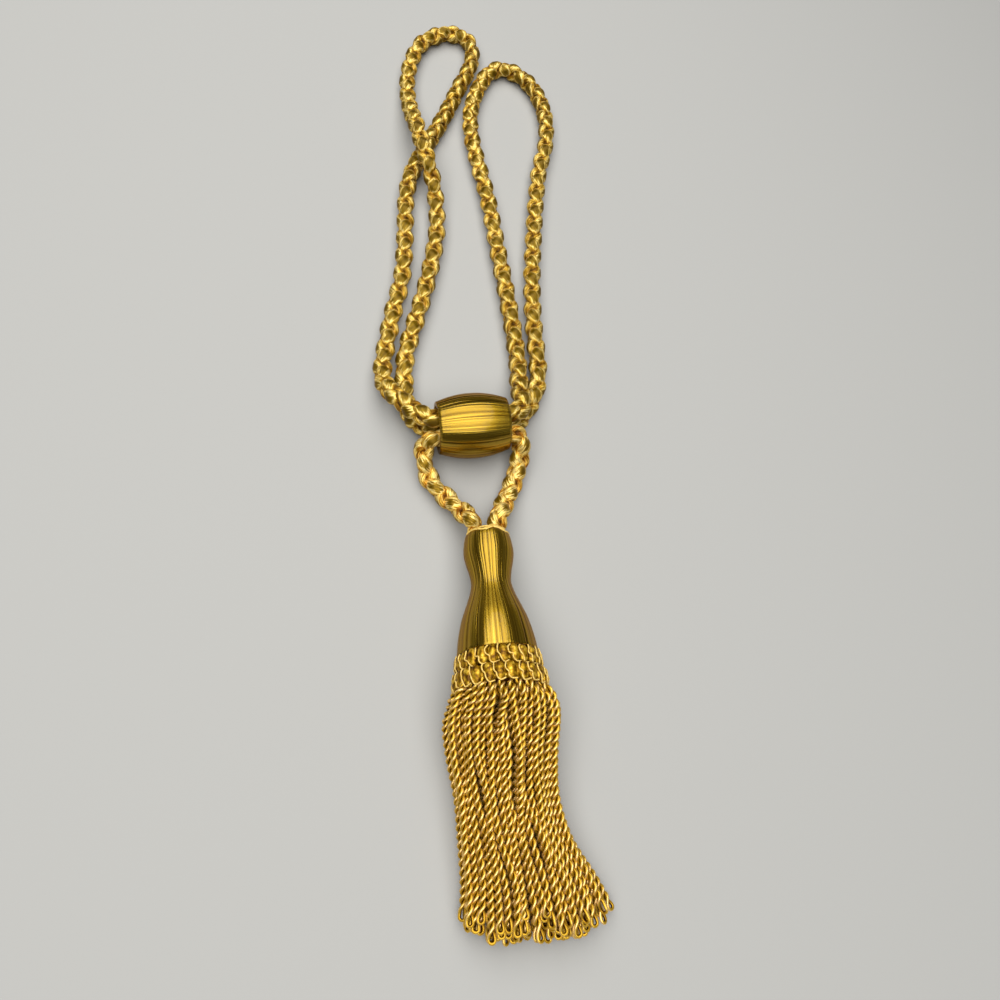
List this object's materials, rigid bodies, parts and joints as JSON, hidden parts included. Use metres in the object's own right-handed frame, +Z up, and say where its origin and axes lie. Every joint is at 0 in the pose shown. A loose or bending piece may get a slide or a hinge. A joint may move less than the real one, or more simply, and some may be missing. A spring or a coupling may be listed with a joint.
{
  "type": "curtain tieback tassel",
  "caption": "Curtain tieback: two braided rope loops drawn through a floss-covered slide, with a covered tassel head, braid collar and twisted bullion skirt.",
  "frame": {"origin": "on the surface the tieback lies on, under the middle of the slide, head and skirt taken together", "axes": "+Z up from the surface, +Y from the skirt's ends towards the rope loops, +X across to the right as the tassel lies with its loops away from the viewer"},
  "size_m": [0.0967, 0.4741, 0.0377],
  "materials": {
    "satin_floss": "satin rayon floss wound lengthwise over turned wood",
    "collar_braid": "looped gimp braid, satin",
    "bullion_fringe": "twisted rayon yarn, soft sheen",
    "braided_rope": "plump glossy rayon braid"
  },
  "bodies": {
    "root": {"tassel_head": "satin_floss", "slide_barrel": "satin_floss", "collar_upper": "collar_braid", "collar_lower": "collar_braid", "skirt": "bullion_fringe", "rope_loop_left": "braided_rope", "rope_loop_right": "braided_rope", "rope_link_left": "braided_rope", "rope_link_right": "braided_rope"}
  },
  "joints": []
}
